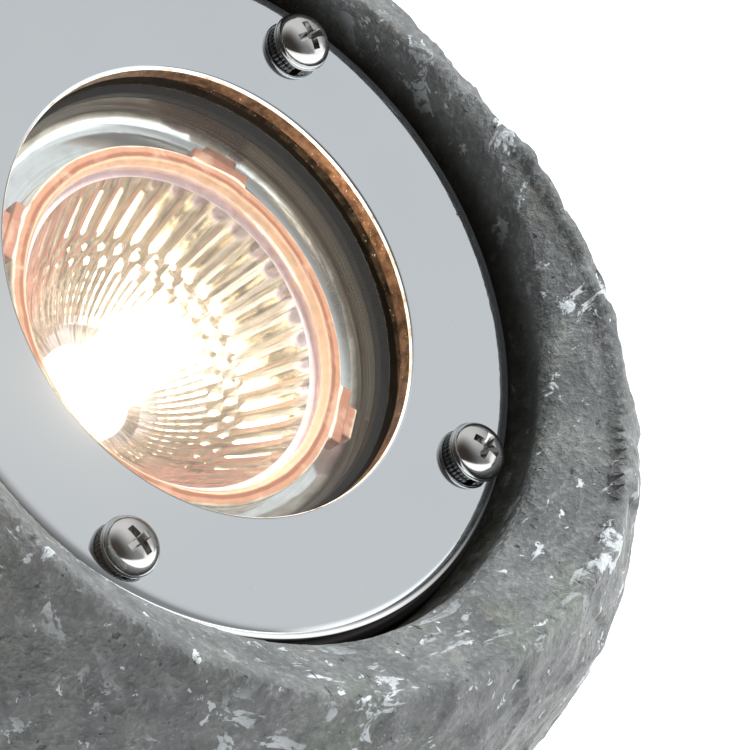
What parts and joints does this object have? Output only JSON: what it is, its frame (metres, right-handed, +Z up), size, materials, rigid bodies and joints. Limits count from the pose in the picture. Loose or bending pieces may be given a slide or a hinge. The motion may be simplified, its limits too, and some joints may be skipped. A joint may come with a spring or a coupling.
{
  "type": "underwater pond light",
  "caption": "Stone-look pond light: a cast pebble body with a tilted recess, a screwed polished bezel ring over a sealed glass, and a halogen reflector lamp inside.",
  "frame": {"origin": "centre of the resting pad's underside, on the ground", "axes": "+Z up; the lamp looks towards -Y and 34 degrees upwards; the cable leaves towards +Y"},
  "size_m": [0.135, 0.2219, 0.1219],
  "materials": {
    "stone": "rough, hewn texture, cast resin stone",
    "base_plastic": "moulded grain",
    "pad_rubber": "matt ribbed rubber",
    "cement": "cast sand cement",
    "housing_plastic": "satin black moulding",
    "sealant": "silicone bead",
    "gasket_rubber": "smooth EPDM",
    "brass": "turned brass",
    "bezel_steel": "polished stainless sheet",
    "cup_steel": "deep-drawn polished stainless",
    "bracket_steel": "plain sheet",
    "screw_steel": "polished stainless fastener",
    "washer_steel": "spring steel, stainless",
    "gland_plastic": "satin nylon",
    "cable_rubber": "matt rubber jacket",
    "core_insulation": "brown and blue insulation",
    "copper": "bare copper strands",
    "steatite": "pressed steatite",
    "glass_sleeving": "silicone and glass-fibre sleeving",
    "dichroic_glass": "pressed glass with a dichroic coat",
    "clear_glass": "clear toughened glass",
    "quartz": "clear quartz",
    "tungsten": "coiled tungsten, lit",
    "lamp_cement": "white lamp cement"
  },
  "bodies": {
    "body": {"stone_shell": "stone", "base_plate": "base_plastic", "resting_pad": "pad_rubber", "ballast_slug": "cement", "cable_grommet": "gasket_rubber", "lamp_housing": "housing_plastic", "housing_bond": "sealant", "thread_inserts": "brass", "cup_liner": "cup_steel", "gland_body": "gland_plastic", "gland_seal": "gasket_rubber", "gland_nut": "gland_plastic", "supply_cable": "cable_rubber", "cable_cores": "core_insulation", "core_conductors": "copper", "holder_bracket": "bracket_steel", "bracket_screws": "screw_steel", "lampholder": "steatite", "holder_contacts": "brass", "lead_wires": "glass_sleeving", "crimp_sleeves": "copper"},
    "lamp": {"lamp_reflector": "dichroic_glass", "lamp_cover_glass": "clear_glass", "halogen_capsule": "quartz", "filament": "tungsten", "lamp_cement": "lamp_cement", "lamp_pins": "screw_steel"},
    "lens": {"rear_gasket": "gasket_rubber", "lens_glass": "clear_glass", "front_gasket": "gasket_rubber"},
    "cover": {"bezel_ring": "bezel_steel"},
    "washer_1": {"spring_washer_1": "washer_steel"},
    "screw_1": {"bezel_screw_1": "screw_steel"},
    "washer_2": {"spring_washer_2": "washer_steel"},
    "screw_2": {"bezel_screw_2": "screw_steel"},
    "washer_3": {"spring_washer_3": "washer_steel"},
    "screw_3": {"bezel_screw_3": "screw_steel"},
    "washer_4": {"spring_washer_4": "washer_steel"},
    "screw_4": {"bezel_screw_4": "screw_steel"}
  },
  "joints": [
    {"name": "cover_lift", "type": "slide", "parent": "body", "child": "cover", "axis": [0, -0.829, 0.5592], "range_m": [0, 0.06]},
    {"name": "lens_lift", "type": "slide", "parent": "body", "child": "lens", "axis": [0, -0.829, 0.5592], "range_m": [0, 0.046]},
    {"name": "lamp_pull", "type": "slide", "parent": "body", "child": "lamp", "axis": [0, -0.829, 0.5592], "range_m": [0, 0.028]},
    {"name": "washer_1_rise", "type": "slide", "parent": "cover", "child": "washer_1", "axis": [0, -0.829, 0.5592], "range_m": [0, 0.0063]},
    {"name": "screw_1_turn", "type": "hinge", "parent": "washer_1", "child": "screw_1", "pos_m": [0.02899, -0.00629, 0.09803], "axis": [0, -0.829, 0.5592], "range_deg": [0, 3242]},
    {"name": "washer_2_rise", "type": "slide", "parent": "cover", "child": "washer_2", "axis": [0, -0.829, 0.5592], "range_m": [0, 0.0063]},
    {"name": "screw_2_turn", "type": "hinge", "parent": "washer_2", "child": "screw_2", "pos_m": [-0.02899, -0.00629, 0.09803], "axis": [0, -0.829, 0.5592], "range_deg": [0, 3242]},
    {"name": "washer_3_rise", "type": "slide", "parent": "cover", "child": "washer_3", "axis": [0, -0.829, 0.5592], "range_m": [0, 0.0063]},
    {"name": "screw_3_turn", "type": "hinge", "parent": "washer_3", "child": "screw_3", "pos_m": [-0.02899, -0.03871, 0.04997], "axis": [0, -0.829, 0.5592], "range_deg": [0, 3242]},
    {"name": "washer_4_rise", "type": "slide", "parent": "cover", "child": "washer_4", "axis": [0, -0.829, 0.5592], "range_m": [0, 0.0063]},
    {"name": "screw_4_turn", "type": "hinge", "parent": "washer_4", "child": "screw_4", "pos_m": [0.02899, -0.03871, 0.04997], "axis": [0, -0.829, 0.5592], "range_deg": [0, 3242]}
  ],
  "couplings": [
    {"joint": "lens_lift", "follows": "cover_lift", "ratio": 0.75},
    {"joint": "lamp_pull", "follows": "cover_lift", "ratio": 0.45},
    {"joint": "screw_1_turn", "follows": "washer_1_rise", "rad_per_m": 8976},
    {"joint": "screw_2_turn", "follows": "washer_2_rise", "rad_per_m": 8976},
    {"joint": "screw_3_turn", "follows": "washer_3_rise", "rad_per_m": 8976},
    {"joint": "screw_4_turn", "follows": "washer_4_rise", "rad_per_m": 8976}
  ]
}
